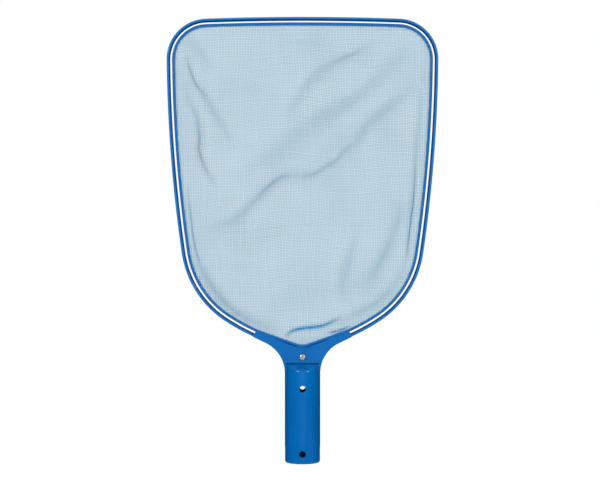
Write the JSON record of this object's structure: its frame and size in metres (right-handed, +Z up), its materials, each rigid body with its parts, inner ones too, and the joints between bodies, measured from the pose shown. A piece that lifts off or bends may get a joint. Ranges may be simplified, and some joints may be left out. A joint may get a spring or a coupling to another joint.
{
  "type": "leaf skimmer net",
  "caption": "Flat leaf skimmer head with a net in a rounded hoop, a yoke and a hollow handle that plugs into a pool pole and is held by a sprung clip.",
  "frame": {"origin": "on the handle's axis, at the seat where the end of the pole stops", "axes": "+Z up along the handle towards the net, -Y out of the front face, where the cover and the screw are, +X to the right of someone who faces the front"},
  "size_m": [0.2256, 0.0354, 0.37],
  "materials": {
    "blue_plastic": "moulded polypropylene, satin gloss",
    "net_fabric": "fine woven pale blue mesh",
    "screw_steel": "cold-formed stainless steel",
    "clip_plastic": "moulded acetal, matte"
  },
  "bodies": {
    "root": {"handle": "blue_plastic", "yoke_cover": "blue_plastic", "outer_rail": "blue_plastic", "net_rim": "blue_plastic", "net_retainer": "blue_plastic", "net": "net_fabric", "yoke_screw": "screw_steel", "clip_bend": "clip_plastic"},
    "front_button": {"clip_leg_front": "clip_plastic"},
    "back_button": {"clip_leg_back": "clip_plastic"}
  },
  "joints": [
    {"name": "press_front", "type": "hinge", "parent": "root", "child": "front_button", "pos_m": [0, -0.00989, -0.0344], "axis": [1, 0, 0], "range_deg": [0, 5.5], "stiffness_Nm_per_rad": 2},
    {"name": "press_back", "type": "hinge", "parent": "root", "child": "back_button", "pos_m": [0, 0.00989, -0.0344], "axis": [-1, 0, 0], "range_deg": [0, 5.5], "stiffness_Nm_per_rad": 2}
  ]
}
